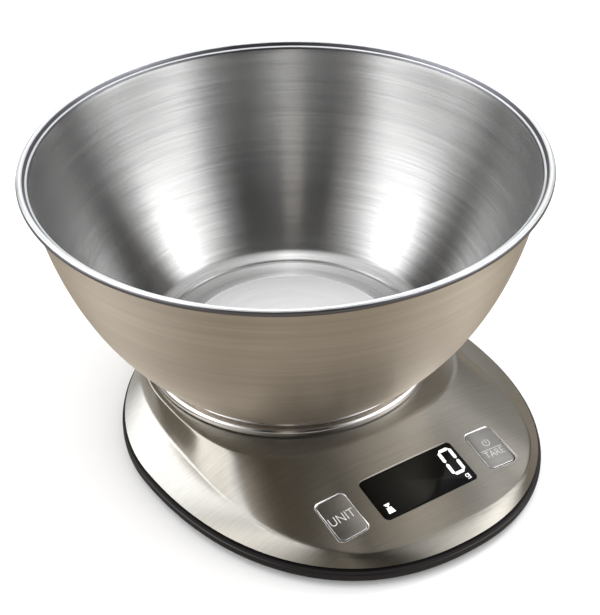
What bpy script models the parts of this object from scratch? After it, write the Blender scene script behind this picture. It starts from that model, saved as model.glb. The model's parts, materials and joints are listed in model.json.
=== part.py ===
"""Kitchen scale with a lift-off steel bowl: every sub-part is its own closed solid.

Metres, +Z up, display towards -Y. The origin is on the ground, at the middle of the
bounding box. All parts are laid out from the bowl's axis, which stands a little behind it.
"""

import math

import bmesh
import bpy
from mathutils import Matrix, Vector
from mathutils.bvhtree import BVHTree

MM = 0.001
GAP = 0.3 * MM

# Driving dimensions, measured from the bowl's axis and the ground
RIM_RADIUS = 117.5 * MM
TOTAL_HEIGHT = 133.8 * MM
BEAD_RADIUS = 1.6 * MM
BOWL_WALL = 0.8 * MM
BOWL_FLOOR_Z = 36.0 * MM
# Control points of the bowl's outer wall, as radius and height in millimetres
WALL_CURVE = ((66.0, 36.0), (103.8, 69.2), (113.0, 130.5))
FOOT_RING_RADIUS = 68.0 * MM
SEAT_Z = 29.0 * MM
SEAT_BOSS_RADIUS = 60.8 * MM
SEAT_BOSS_RISE = 0.9 * MM
TRAY_FRONT_Y = -137.2 * MM
TRAY_HALF_WIDTH = 92.0 * MM
TRAY_FLOOR_Z = 3.0 * MM
TRAY_TOP_Z = 8.8 * MM
TRAY_WALL = 2.0 * MM
SHEET = 0.7 * MM
LINER = 1.8 * MM
EDGE_INSET = 1.5 * MM
EDGE_Z = 9.8 * MM

# Where the window and the keys lie on the sloping front
PANEL_Y = -102.6 * MM
PANEL_TILT = math.radians(12.6)
WINDOW = (49.7 * MM, 23.1 * MM)
WINDOW_CORNER = 2.5 * MM
KEY = (14.4 * MM, 20.9 * MM)
KEY_CORNER = 2.6 * MM
KEY_SLOT = 0.3 * MM
KEY_X = 40.0 * MM
KEY_ROLL = math.radians(4.0)

# Load-cell feet, housing screws and battery bay
FEET = {"front_left": (-62, -84), "front_right": (62, -84), "back_left": (-50, 32), "back_right": (50, 32)}
SCREWS = {"front_left": (-25, -124), "front_right": (25, -124), "middle_left": (-54, -24),
          "middle_right": (54, -24), "back_left": (-28, 50), "back_right": (28, 50)}
FOOT_RADIUS = 9.6 * MM
BAY_Y = -2.0 * MM
BAY = (56.0 * MM, 28.0 * MM)
BAY_WALL = 1.5 * MM
BAY_TOP_Z = 18.6 * MM
CELL_Y = 6.1 * MM
CELL_Z = 11.6 * MM
BOARD_Z = -10.0 * MM
BOARD_THICK = 1.6 * MM
BOARD_SCREW = (42.0 * MM, 14.3 * MM)

ROUND = 64  # sides of the bowl and of the base outlines
AXIS_Y = -(TRAY_FRONT_Y + RIM_RADIUS) / 2  # the bowl's axis, behind the middle of the footprint

MATERIALS = {
    "bowl_steel": ((0.62, 0.60, 0.57), 0.30, 1.0),
    "polished_steel": ((0.80, 0.80, 0.81), 0.10, 1.0),
    "cover_steel": ((0.58, 0.57, 0.55), 0.32, 1.0),
    "key_steel": ((0.55, 0.55, 0.54), 0.30, 1.0),
    "black_plastic": ((0.018, 0.017, 0.018), 0.42, 0.0),
    "liner_plastic": ((0.03, 0.03, 0.03), 0.55, 0.0),
    "window_gloss": ((0.004, 0.004, 0.004), 0.06, 0.0),
    "lcd_glass": ((0.05, 0.06, 0.06), 0.15, 0.0),
    "backlight": ((0.88, 0.88, 0.85), 0.45, 0.0),
    "board_green": ((0.02, 0.16, 0.07), 0.45, 0.0),
    "switch_black": ((0.03, 0.03, 0.035), 0.40, 0.0),
    "sensor_alloy": ((0.70, 0.70, 0.72), 0.35, 1.0),
    "white_plastic": ((0.75, 0.75, 0.73), 0.50, 0.0),
    "foot_rubber": ((0.02, 0.02, 0.02), 0.85, 0.0),
    "cell_jacket": ((0.06, 0.13, 0.30), 0.35, 0.0),
    "contact_nickel": ((0.75, 0.72, 0.66), 0.25, 1.0),
    "screw_steel": ((0.45, 0.45, 0.46), 0.30, 1.0),
    "wire_red": ((0.45, 0.03, 0.02), 0.50, 0.0),
    "connector_white": ((0.80, 0.79, 0.74), 0.50, 0.0),
}


# scene and helpers

def clear_scene():
    for obj in list(bpy.data.objects):
        bpy.data.objects.remove(obj, do_unlink=True)


def make_collection(name):
    coll = bpy.data.collections.new(name)
    bpy.context.scene.collection.children.link(coll)
    return coll


def make_material(name):
    color, roughness, metallic = MATERIALS[name]
    mat = bpy.data.materials.new(name)
    mat.use_nodes = True
    shader = mat.node_tree.nodes["Principled BSDF"]
    shader.inputs["Base Color"].default_value = (*color, 1.0)
    shader.inputs["Roughness"].default_value = roughness
    shader.inputs["Metallic"].default_value = metallic
    mat.diffuse_color = (*color, 1.0)
    return mat


def make_frame(name, location, rotation=(0, 0, 0), parent=None):
    empty = bpy.data.objects.new(name, None)
    empty.empty_display_size = 0.01
    empty.location = location
    empty.rotation_euler = rotation
    empty.parent = parent
    PARTS.objects.link(empty)
    return empty


def add_part(name, mesh, material, parent, location=(0, 0, 0)):
    obj = bpy.data.objects.new(name, mesh)
    obj.data.materials.append(MATS[material])
    obj.location = location
    obj.parent = parent
    PARTS.objects.link(obj)
    return obj


def add_cutter(name, mesh, parent, location=(0, 0, 0)):
    obj = bpy.data.objects.new(name, mesh)
    obj.hide_render = True
    obj.display_type = "WIRE"
    obj.location = location
    obj.parent = parent
    CUTTERS.objects.link(obj)
    return obj


def boolean(obj, other, operation):
    mod = obj.modifiers.new(operation.lower(), "BOOLEAN")
    mod.operation = operation
    mod.object = other
    return mod


def smooth(obj, angle=30):
    obj.data.shade_smooth()
    obj.data.set_sharp_from_angle(angle=math.radians(angle))
    return obj


def mesh_from(bm, name):
    mesh = bpy.data.meshes.new(name)
    bm.to_mesh(mesh)
    bm.free()
    return mesh


def box_mesh(name, size, center=(0, 0, 0), corner=0.0, segments=3):
    """A box, with its upright edges rounded where a corner radius is given."""
    bm = bmesh.new()
    bmesh.ops.create_cube(bm, size=1.0, matrix=Matrix.Translation(center) @ Matrix.Diagonal((*size, 1)))
    if corner:
        upright = [e for e in bm.edges if abs(e.verts[0].co.z - e.verts[1].co.z) > 1e-6]
        bmesh.ops.bevel(bm, geom=upright, offset=corner, offset_type="OFFSET", segments=segments,
                        profile=0.5, affect="EDGES")
    return mesh_from(bm, name)


def boxes_mesh(name, boxes):
    bm = bmesh.new()
    for size, center in boxes:
        bmesh.ops.create_cube(bm, size=1.0, matrix=Matrix.Translation(center) @ Matrix.Diagonal((*size, 1)))
    return mesh_from(bm, name)


def cylinders_mesh(name, cylinders, sides=20):
    """Upright cylinders, each given as (x, y, radius, low z, high z)."""
    bm = bmesh.new()
    for x, y, radius, low, high in cylinders:
        place = Matrix.Translation((x, y, (low + high) / 2))
        bmesh.ops.create_cone(bm, cap_ends=True, segments=sides, radius1=radius, radius2=radius,
                              depth=high - low, matrix=place)
    return mesh_from(bm, name)


def scaled(profile):
    """A profile given in millimetres, in metres."""
    return [(r * MM, z * MM) for r, z in profile]


def turned_part(name, profile, material, parent, steps, closed, location=(0, 0, 0)):
    """Turn a profile of (radius, z) points, which runs down the outer side, round Z."""
    mesh = bpy.data.meshes.new(name)
    count = len(profile)
    edges = [(i, i + 1) for i in range(count - 1)]
    if closed:
        edges.append((count - 1, 0))
    mesh.from_pydata([(r, 0, z) for r, z in profile], edges, [])
    obj = add_part(name, mesh, material, parent, location)
    screw = obj.modifiers.new("turn", "SCREW")
    screw.angle = math.tau
    screw.steps = steps
    screw.render_steps = steps
    screw.use_merge_vertices = True
    screw.merge_threshold = 0.00001
    screw.use_smooth_shade = True
    return obj


def wire_part(name, points, radius, material, parent):
    curve = bpy.data.curves.new(name, "CURVE")
    curve.dimensions = "3D"
    curve.bevel_depth = radius
    curve.bevel_resolution = 1
    curve.use_fill_caps = True
    spline = curve.splines.new("POLY")
    spline.points.add(len(points) - 1)
    for point, (x, y, z) in zip(spline.points, points):
        point.co = (x, y, z, 1)
    return add_part(name, curve, material, parent)


def rounded_route(corners, steps=3):
    """Cut each corner of a route with a short quadratic bend."""
    corners = [Vector(c) * MM for c in corners]
    route = [corners[0]]
    for before, corner, after in zip(corners, corners[1:], corners[2:]):
        reach = min(3 * MM, (before - corner).length / 2, (after - corner).length / 2)
        start = corner + (before - corner).normalized() * reach
        end = corner + (after - corner).normalized() * reach
        for i in range(steps + 1):
            t = i / steps
            route.append(start * (1 - t) ** 2 + corner * 2 * t * (1 - t) + end * t ** 2)
    route.append(corners[-1])
    return route


# outlines of the base

def egg(half_width, center_y, front, front_power, back, back_power):
    """One ring of a super-ellipse whose front and back halves have their own reach and power."""
    ring = []
    for i in range(ROUND):
        angle = math.tau * i / ROUND
        side, depth = math.sin(angle), -math.cos(angle)
        reach, power = (front, front_power) if depth < 0 else (back, back_power)
        radius = (abs(side / half_width) ** power + abs(depth / reach) ** power) ** (-1 / power)
        ring.append(Vector((radius * side, center_y + radius * depth, 0)))
    return ring


def tray_outline(inset=0.0):
    center_y = -20 * MM
    front = center_y - TRAY_FRONT_Y - inset
    return egg(TRAY_HALF_WIDTH - inset, center_y, front, 2.25, 97 * MM - inset, 1.87)


def crease_outline():
    return egg(74.5 * MM, -25 * MM, 104 * MM, 3.0, 98 * MM, 2.33)


def crest_outline(inset=0.0):
    return egg(70.5 * MM - inset, 0, 75 * MM - inset, 2.8, 70.5 * MM - inset, 2.0)


def circle_outline(radius):
    return egg(radius, 0, radius, 2, radius, 2)


def smoothstep(value):
    value = min(max(value, 0.0), 1.0)
    return value * value * (3 - 2 * value)


def at_height(ring, height):
    return [Vector((p.x, p.y, height)) for p in ring]


def between(ring_a, ring_b, part, lift=0.0):
    return [a.lerp(b, part) + Vector((0, 0, lift)) for a, b in zip(ring_a, ring_b)]


def crease_ring():
    """The crease dips by 2 mm across the front, where the panel runs out into it."""
    ring = []
    for p in crease_outline():
        dip = smoothstep((60 * MM - abs(p.x)) / (20 * MM)) if p.y < -60 * MM else 0.0
        ring.append(Vector((p.x, p.y, 17 * MM - 2 * MM * dip)))
    return ring


def flank_ring(crease, crest, part):
    """The top rises from the crease to the seat, gently at first and steeper near the seat."""
    rise = 0.65 * part + 0.35 * part ** 3
    return [Vector((*a.xy.lerp(b.xy, part), a.z + (b.z - a.z) * rise)) for a, b in zip(crease, crest)]


def skirt_rings(start, steps):
    edge = at_height(tray_outline(EDGE_INSET), EDGE_Z)
    crease = crease_ring()
    rings = []
    for i in range(steps):
        part = start + (1 - start) * i / steps
        rings.append(between(edge, crease, part, 4 * 0.4 * MM * part * (1 - part)))
    return rings


def top_rings(parts):
    crease = crease_ring()
    crest = at_height(crest_outline(), SEAT_Z - 0.3 * MM)
    rings = [flank_ring(crease, crest, part) for part in parts]
    rings.append(at_height(crest_outline(1.5 * MM), SEAT_Z))
    return rings


def outer_rings():
    """The cover's outside, from its lower edge up to the seat."""
    return skirt_rings(0.0, 2) + top_rings((0, 0.2, 0.4, 0.6, 0.8, 0.93, 1.0))


def loft_mesh(name, rings):
    """Skin a stack of unlike outlines, wound so that faces point up and out, and cap the last."""
    bm = bmesh.new()
    loops = [[bm.verts.new(p) for p in ring] for ring in rings]
    count = len(loops[0])
    for lower, upper in zip(loops, loops[1:]):
        for i in range(count):
            j = (i + 1) % count
            bm.faces.new((lower[i], lower[j], upper[j], upper[i]))
    bm.faces.new(loops[-1])
    return mesh_from(bm, name)


def solidify(obj, thickness, offset=-1.0):
    mod = obj.modifiers.new("wall", "SOLIDIFY")
    mod.thickness = thickness
    mod.offset = offset
    mod.use_even_offset = True
    mod.use_quality_normals = True
    return mod


def cover_height(mesh):
    """Return a function that gives the cover's height at a point of the plan."""
    bm = bmesh.new()
    bm.from_mesh(mesh)
    tree = BVHTree.FromBMesh(bm)
    bm.free()

    def height(x, y):
        return tree.ray_cast(Vector((x, y, 1)), Vector((0, 0, -1)))[0].z

    return height


# bowl

def bowl_wall(steps, inset=0.0):
    """Points up the wall's quadratic curve, moved in by the inset."""
    low, pull, high = (Vector(point) for point in WALL_CURVE)
    points = []
    for i in range(steps + 1):
        t = i / steps
        point = low * (1 - t) ** 2 + pull * 2 * t * (1 - t) + high * t ** 2
        run = (pull - low) * (1 - t) + (high - pull) * t
        inward = Vector((-run.y, run.x)).normalized()
        points.append(point * MM + inward * inset)
    return points


def build_bowl(parent):
    bead_r = RIM_RADIUS - BEAD_RADIUS
    bead_z = TOTAL_HEIGHT - BEAD_RADIUS
    floor = [(r * MM, BOWL_FLOOR_Z + z * MM) for r, z in ((0, 0), (50, 0), (57, 0.35), (62, 1.3))]
    inner = [(65.2 * MM, BOWL_FLOOR_Z + 2.6 * MM)] + [tuple(p) for p in bowl_wall(7, BOWL_WALL)[1:]]
    step = [(112.5 * MM, 131.6 * MM), (113.8 * MM, 132.2 * MM)]
    bead = []
    for i in range(7):
        angle = math.radians(135 - 45 * i)
        bead.append((bead_r + BEAD_RADIUS * math.cos(angle), bead_z + BEAD_RADIUS * math.sin(angle)))
    outer = [tuple(p) for p in reversed(bowl_wall(7))]
    under_z = BOWL_FLOOR_Z - BOWL_WALL
    under = [(63.5 * MM, under_z), (0, under_z)]
    turned_part("bowl", floor + inner + step + bead + outer + under, "bowl_steel", parent, ROUND, False)

    # The ring's neck reaches up to the bowl; its band stands on the seat, outside the raised boss.
    ring = [(5.2, 5.9), (3.7, 5.9), (3.7, 4.6), (1.2, 4.4), (0.3, 3.4), (0, 1.4), (0.5, 0.3), (1.8, 0.3),
            (2.4, 3.2), (5.2, 3.6)]
    profile = [(FOOT_RING_RADIUS - inset * MM, SEAT_Z + rise * MM) for inset, rise in ring]
    turned_part("bowl_foot_ring", profile, "polished_steel", parent, ROUND, True)


# cover, liner and tray

def build_cover(base, panel, keys):
    boss = [at_height(circle_outline(SEAT_BOSS_RADIUS + 1.2 * MM), SEAT_Z),
            at_height(circle_outline(SEAT_BOSS_RADIUS), SEAT_Z + SEAT_BOSS_RISE)]
    mesh = loft_mesh("top_cover", outer_rings() + boss)
    cover = smooth(add_part("top_cover", mesh, "cover_steel", base), 25)
    solidify(cover, SHEET)
    window = box_mesh("window_hole", (*WINDOW, 6 * MM), corner=WINDOW_CORNER)
    boolean(cover, add_cutter("window_hole", window, panel), "DIFFERENCE")
    for side, frame in keys.items():
        hole = (KEY[0] + 2 * KEY_SLOT, KEY[1] + 2 * KEY_SLOT, 5 * MM)
        mesh_hole = box_mesh(f"{side}_key_hole", hole, corner=KEY_CORNER + KEY_SLOT)
        boolean(cover, add_cutter(f"{side}_key_hole", mesh_hole, frame), "DIFFERENCE")


def build_upper_housing(base, panel, keys, height):
    """A plastic shell just inside the cover, with a post for each housing screw and board screw."""
    rings = skirt_rings(0.3, 1) + top_rings((0, 0.35, 0.7, 1.0))
    liner = smooth(add_part("upper_housing", loft_mesh("upper_housing", rings), "liner_plastic", base), 25)
    inner_face = SHEET + GAP + 0.1 * MM
    solidify(liner, LINER, offset=-1 - 2 * inner_face / LINER)

    posts, holes = [], []
    for x, y in SCREWS.values():
        top = height(x * MM, y * MM) - 2.0 * MM
        posts.append((x * MM, y * MM, 3.4 * MM, TRAY_TOP_Z + GAP, top))
        holes.append((x * MM, y * MM, 1.7 * MM, TRAY_TOP_Z - MM, min(top - MM, 15.5 * MM)))
    boolean(liner, add_cutter("housing_posts", cylinders_mesh("housing_posts", posts, 12), base), "UNION")
    boolean(liner, add_cutter("housing_post_holes", cylinders_mesh("housing_post_holes", holes, 12), base),
            "DIFFERENCE")

    opening = box_mesh("display_opening", (57 * MM, 29.5 * MM, 12 * MM), corner=2 * MM)
    boolean(liner, add_cutter("display_opening", opening, panel), "DIFFERENCE")
    for side, frame in keys.items():
        size = (KEY[0] + 1.6 * MM, KEY[1] + 1.6 * MM, 12 * MM)
        passage = box_mesh(f"{side}_key_passage", size, corner=KEY_CORNER)
        boolean(liner, add_cutter(f"{side}_key_passage", passage, frame), "DIFFERENCE")

    board_posts, board_holes = [], []
    board_top = BOARD_Z + BOARD_THICK / 2 + GAP
    for x, y, local_height in board_screw_places(panel, height):
        board_posts.append((x, y, 1.7 * MM, board_top, local_height - 2.0 * MM))
        board_holes.append((x, y, 1.0 * MM, board_top - MM, board_top + 3.2 * MM))
    boolean(liner, add_cutter("board_posts", cylinders_mesh("board_posts", board_posts, 10), panel), "UNION")
    holes_mesh = cylinders_mesh("board_post_holes", board_holes, 10)
    boolean(liner, add_cutter("board_post_holes", holes_mesh, panel), "DIFFERENCE")


def board_screw_places(panel, height):
    """Each board screw's place in the panel's frame, with the cover's height there in that frame."""
    to_panel = panel.matrix_basis.inverted()
    places = []
    for x in (-BOARD_SCREW[0], BOARD_SCREW[0]):
        on_cover = panel.matrix_basis @ Vector((x, BOARD_SCREW[1], 0))
        above = to_panel @ Vector((on_cover.x, on_cover.y, height(on_cover.x, on_cover.y)))
        places.append((x, BOARD_SCREW[1], above.z))
    return places


def build_lower_housing(base):
    """A shallow tray with a screw boss, a foot well or a door opening wherever the underside needs one."""
    profile = ((0.3, TRAY_TOP_Z), (0, TRAY_FLOOR_Z + 1.8 * MM), (0.7, TRAY_FLOOR_Z + 0.6 * MM), (2.6, TRAY_FLOOR_Z))
    rings = [at_height(tray_outline(inset * MM), z) for inset, z in profile]
    mesh = loft_mesh("lower_housing", rings)
    mesh.flip_normals()
    tray = smooth(add_part("lower_housing", mesh, "black_plastic", base))
    solidify(tray, TRAY_WALL)

    boss_top = TRAY_TOP_Z - 0.2 * MM
    bosses = [(x * MM, y * MM, 5 * MM, TRAY_FLOOR_Z + MM, boss_top) for x, y in SCREWS.values()]
    boolean(tray, add_cutter("tray_bosses", cylinders_mesh("tray_bosses", bosses, 16), base), "UNION")
    holes = [(x * MM, y * MM, 1.8 * MM, 0, 12 * MM) for x, y in SCREWS.values()]
    boolean(tray, add_cutter("screw_holes", cylinders_mesh("screw_holes", holes, 12), base), "DIFFERENCE")
    sinks = [(x * MM, y * MM, 3.6 * MM, 0, 6.6 * MM) for x, y in SCREWS.values()]
    boolean(tray, add_cutter("screw_sinks", cylinders_mesh("screw_sinks", sinks, 12), base), "DIFFERENCE")
    wells = [(x * MM, y * MM, FOOT_RADIUS + 0.8 * MM, 0, 7 * MM) for x, y in FEET.values()]
    boolean(tray, add_cutter("foot_wells", cylinders_mesh("foot_wells", wells, 16), base), "DIFFERENCE")
    opening = (BAY[0] - 2 * BAY_WALL, BAY[1] - 2 * BAY_WALL, 6 * MM)
    door_hole = box_mesh("door_hole", opening, corner=2 * MM, segments=2)
    boolean(tray, add_cutter("door_hole", door_hole, base, (0, BAY_Y, TRAY_FLOOR_Z)), "DIFFERENCE")


def build_screws(base):
    """Pan-head screws in the sinks, with a cross recess cut into the head from below."""
    for place, (x, y) in SCREWS.items():
        profile = [(0, 12), (0.9, 12), (1.35, 11), (1.35, 6.3), (3.1, 6.3), (3.1, 5.2), (2.6, 4.7), (0, 4.7)]
        screw = turned_part(f"housing_screw_{place}", scaled(profile), "screw_steel", base, 12, False,
                            (x * MM, y * MM, 0))
        for slot, size in (("long", (3.4, 0.9)), ("cross", (0.9, 3.4))):
            cutter = box_mesh(f"{slot}_slot", (size[0] * MM, size[1] * MM, 1.4 * MM))
            slot_place = (x * MM, y * MM, 4.9 * MM)
            boolean(screw, add_cutter(f"{slot}_slot_{place}", cutter, base, slot_place), "DIFFERENCE")


# display and keys

def build_display(panel):
    depth = 1.35 * MM
    glass = box_mesh("display_window", (WINDOW[0] - 2 * GAP, WINDOW[1] - 2 * GAP, depth),
                     corner=WINDOW_CORNER - GAP)
    add_part("display_window", glass, "window_gloss", panel, (0, 0, -0.5 * MM - depth / 2))

    frame_mesh = box_mesh("display_bezel", (55 * MM, 27.5 * MM, 1.2 * MM), corner=1.5 * MM)
    bezel = add_part("display_bezel", frame_mesh, "liner_plastic", panel, (0, 0, -2.8 * MM))
    sight = add_cutter("display_sight", box_mesh("display_sight", (45 * MM, 19 * MM, 4 * MM), corner=MM),
                       panel, (0, 0, -2.8 * MM))
    boolean(bezel, sight, "DIFFERENCE")

    add_part("lcd_module", box_mesh("lcd_module", (52 * MM, 25 * MM, 2 * MM)), "lcd_glass", panel,
             (0, 0, -4.7 * MM))
    add_part("backlight", box_mesh("backlight", (52 * MM, 25 * MM, 1.6 * MM), corner=MM), "backlight", panel,
             (0, 0, -6.8 * MM))
    add_part("lcd_connector", box_mesh("lcd_connector", (40 * MM, 2.4 * MM, 0.9 * MM)), "connector_white",
             panel, (0, 9.5 * MM, -8.4 * MM))


def build_board(panel, height):
    """The board lies parallel to the panel, screwed from below to two posts of the upper housing."""
    board = add_part("main_board", box_mesh("main_board", (94 * MM, 33 * MM, BOARD_THICK), corner=1.5 * MM),
                     "board_green", panel, (0, 0, BOARD_Z))
    chip = box_mesh("chip_blob", (9 * MM, 9 * MM, 2.4 * MM), corner=2 * MM)
    boolean(board, add_cutter("chip_blob", chip, panel, (-16 * MM, 0, BOARD_Z - 1.4 * MM)), "UNION")

    under = BOARD_Z - BOARD_THICK / 2 - GAP
    places = board_screw_places(panel, height)
    holes = [(x, y, 1.15 * MM, under - MM, under + 3 * MM) for x, y, _ in places]
    boolean(board, add_cutter("board_holes", cylinders_mesh("board_holes", holes, 10), panel), "DIFFERENCE")
    profile = [(0, 3.9), (0.8, 3.9), (0.8, 0), (1.9, 0), (1.9, -0.7), (1.5, -1.1), (0, -1.1)]
    for (x, y, _), side in zip(places, ("left", "right")):
        turned_part(f"board_screw_{side}", scaled(profile), "screw_steel", panel, 12, False, (x, y, under))


def build_key(name, frame):
    """A steel-faced cap with a retaining flange under the housing and a stem over its switch."""
    cap_depth = 3.9 * MM
    cap = add_part(name, box_mesh(name, (*KEY, cap_depth), corner=KEY_CORNER), "key_steel", frame,
                   (0, 0, 0.15 * MM - cap_depth / 2))
    flange = box_mesh("flange", (KEY[0] + 3.4 * MM, KEY[1] + 3.4 * MM, 0.9 * MM), corner=MM)
    boolean(cap, add_cutter(f"{name}_flange", flange, frame, (0, 0, -3.75 * MM)), "UNION")
    stem = cylinders_mesh("stem", [(0, 0, 2 * MM, -4.9 * MM, -3.8 * MM)], 12)
    boolean(cap, add_cutter(f"{name}_stem", stem, frame), "UNION")

    switch = add_part(name.replace("key", "switch"), box_mesh("switch_body", (6 * MM, 6 * MM, 1.5 * MM)),
                      "switch_black", frame, (0, 0, -6.75 * MM))
    plunger = cylinders_mesh("plunger", [(0, 0, 1.7 * MM, -6.3 * MM, -5.6 * MM)], 12)
    boolean(switch, add_cutter(f"{name}_plunger", plunger, frame), "UNION")


# feet and load cells

def build_foot(place, x, y, base):
    frame = make_frame(f"foot_axis_{place}", (x * MM, y * MM, 0), parent=base)
    pad = [(0, 1.6), (7.6, 1.6), (8.0, 1.3), (8.0, 0.4), (7.5, 0), (0, 0)]
    turned_part(f"foot_pad_{place}", scaled(pad), "foot_rubber", frame, 16, False)
    foot = [(0, 7.3), (2.2, 7.3), (2.2, 5.6), (9.2, 5.6), (9.6, 5.2), (9.6, 2.4), (9.1, 1.9), (0, 1.9)]
    turned_part(f"foot_{place}", scaled(foot), "black_plastic", frame, 16, False)

    floor = TRAY_FLOOR_Z + TRAY_WALL + GAP
    holder = [(11.0 * MM, 7.4 * MM), (13.4 * MM, 7.4 * MM), (13.4 * MM, floor), (11.0 * MM, floor)]
    turned_part(f"load_cell_holder_{place}", holder, "white_plastic", frame, 16, True)

    plate = box_mesh("load_cell", (23 * MM, 13 * MM, 1.2 * MM), corner=MM, segments=2)
    cell = add_part(f"load_cell_{place}", plate, "sensor_alloy", frame, (0, 0, 8.3 * MM))
    slots = boxes_mesh("tongue_slots", [((13 * MM, 1.4 * MM, 3 * MM), (0, side * 3.6 * MM, 8.3 * MM))
                                        for side in (-1, 1)])
    boolean(cell, add_cutter(f"tongue_slots_{place}", slots, frame), "DIFFERENCE")


# battery bay

def build_battery_bay(base):
    frame = make_frame("battery_bay", (0, BAY_Y, 0), parent=base)
    low, high = TRAY_FLOOR_Z + TRAY_WALL + GAP, BAY_TOP_Z
    block = box_mesh("battery_holder", (*BAY, high - low), corner=1.5 * MM, segments=2)
    holder = add_part("battery_holder", block, "black_plastic", frame, (0, 0, (low + high) / 2))
    room = (BAY[0] - 2 * BAY_WALL, BAY[1] - 2 * BAY_WALL, 14 * MM)
    hollow = add_cutter("battery_hollow", box_mesh("battery_hollow", room), frame,
                        (0, 0, high - BAY_WALL - room[2] / 2))
    boolean(holder, hollow, "DIFFERENCE")

    for number, side in ((1, -1), (2, 1)):
        shift = -side * 1.6 * MM
        cell = [(0, 22.2), (1.9, 22.2), (1.9, 21.2), (4.6, 21.2), (5.25, 20.6), (5.25, -20.9), (4.8, -21.3),
                (0, -21.3)]
        battery = turned_part(f"battery_{number}", scaled(cell), "cell_jacket", frame, 20, False,
                              (shift, side * CELL_Y, CELL_Z))
        battery.rotation_euler = (0, -side * math.pi / 2, 0)

        turns, per_turn = 2, 8
        coil = []
        for i in range(turns * per_turn + 1):
            angle = math.tau * i / per_turn
            reach = (3.4 - 1.4 * i / (turns * per_turn)) * MM
            coil.append((side * (25.5 * MM - 2.0 * MM * i / (turns * per_turn)),
                         side * CELL_Y + reach * math.cos(angle), CELL_Z + reach * math.sin(angle)))
        wire_part(f"battery_spring_{number}", coil, 0.25 * MM, "contact_nickel", frame)

        plate = box_mesh("contact_plate", (0.5 * MM, 9 * MM, 9 * MM))
        add_part(f"contact_plate_{number}", plate, "contact_nickel", frame,
                 (-side * 25.6 * MM, side * CELL_Y, CELL_Z))


def build_battery_door(base):
    """The door fills the opening in the tray and swings down about the bottom of its front edge."""
    depth = BAY[1] - 2 * BAY_WALL - 2 * GAP
    width = BAY[0] - 2 * BAY_WALL - 2 * GAP
    hinge = make_frame("battery_door_axis", (0, BAY_Y - depth / 2, TRAY_FLOOR_Z), parent=base)
    thick = 1.6 * MM
    panel_mesh = box_mesh("battery_door", (width, depth, thick), corner=1.7 * MM, segments=2)
    door = add_part("battery_door", panel_mesh, "black_plastic", hinge, (0, depth / 2, thick / 2))
    grip = cylinders_mesh("door_grip", [(0, depth - 5 * MM, 4 * MM, -MM, 0.6 * MM)], 16)
    boolean(door, add_cutter("door_grip", grip, hinge), "DIFFERENCE")


# wires

def build_wires(base):
    """Sensor leads run over the tray floor from each load cell to the edge of the board."""
    for side, word in ((-1, "left"), (1, "right")):
        wire_part(f"sensor_wire_front_{word}", rounded_route([
            (side * 47.9, -84, 9.4), (side * 44, -80, 6.3), (side * 36, -78, 6.3), (side * 31, -82, 8.5),
            (side * 31, -84.2, 10.2)]), 0.5 * MM, "wire_red", base)
        wire_part(f"sensor_wire_back_{word}", rounded_route([
            (side * 36.2, 30, 9), (side * 34, 20, 6.3), (side * 36, -30, 6.3), (side * 24, -60, 6.3),
            (side * 24, -80, 7.5), (side * 24, -84.2, 10.2)]), 0.5 * MM, "wire_red", base)
    wire_part("battery_lead", rounded_route([
        (10, -16.5, 12), (10, -22, 8), (10, -50, 6.3), (8, -76, 6.3), (8, -84.2, 10.2)]), 0.6 * MM,
        "wire_red", base)


# assembly

clear_scene()
PARTS = make_collection("kitchen_scale")
CUTTERS = make_collection("cutters")
MATS = {name: make_material(name) for name in MATERIALS}

base_frame = make_frame("bowl_axis", (0, AXIS_Y, 0))
height_at = cover_height(loft_mesh("height_probe", outer_rings()))
panel_frame = make_frame("panel", (0, PANEL_Y, height_at(0, PANEL_Y)), (PANEL_TILT, 0, 0), base_frame)
key_frames = {}
for key_side, sign in (("unit", -1), ("tare", 1)):
    key_place = (sign * KEY_X, PANEL_Y + 0.5 * MM, height_at(sign * KEY_X, PANEL_Y + 0.5 * MM))
    key_turn = (PANEL_TILT, sign * KEY_ROLL, 0)
    key_frames[key_side] = make_frame(f"{key_side}_key_axis", key_place, key_turn, base_frame)

build_bowl(base_frame)
build_cover(base_frame, panel_frame, key_frames)
build_upper_housing(base_frame, panel_frame, key_frames, height_at)
build_lower_housing(base_frame)
build_screws(base_frame)
build_display(panel_frame)
build_board(panel_frame, height_at)
for key_side, key_frame in key_frames.items():
    build_key(f"{key_side}_key", key_frame)
for foot_place, (foot_x, foot_y) in FEET.items():
    build_foot(foot_place, foot_x, foot_y, base_frame)
build_battery_bay(base_frame)
build_battery_door(base_frame)
build_wires(base_frame)
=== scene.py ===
# Kitchen scale with a lift-off steel bowl: the pieces that are seen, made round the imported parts.
# Lengths in the dictionaries are in millimetres; everything that reaches Blender is in metres.

import json
import math

import bmesh
import bpy
import numpy as np
from mathutils import Matrix, Vector

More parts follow.
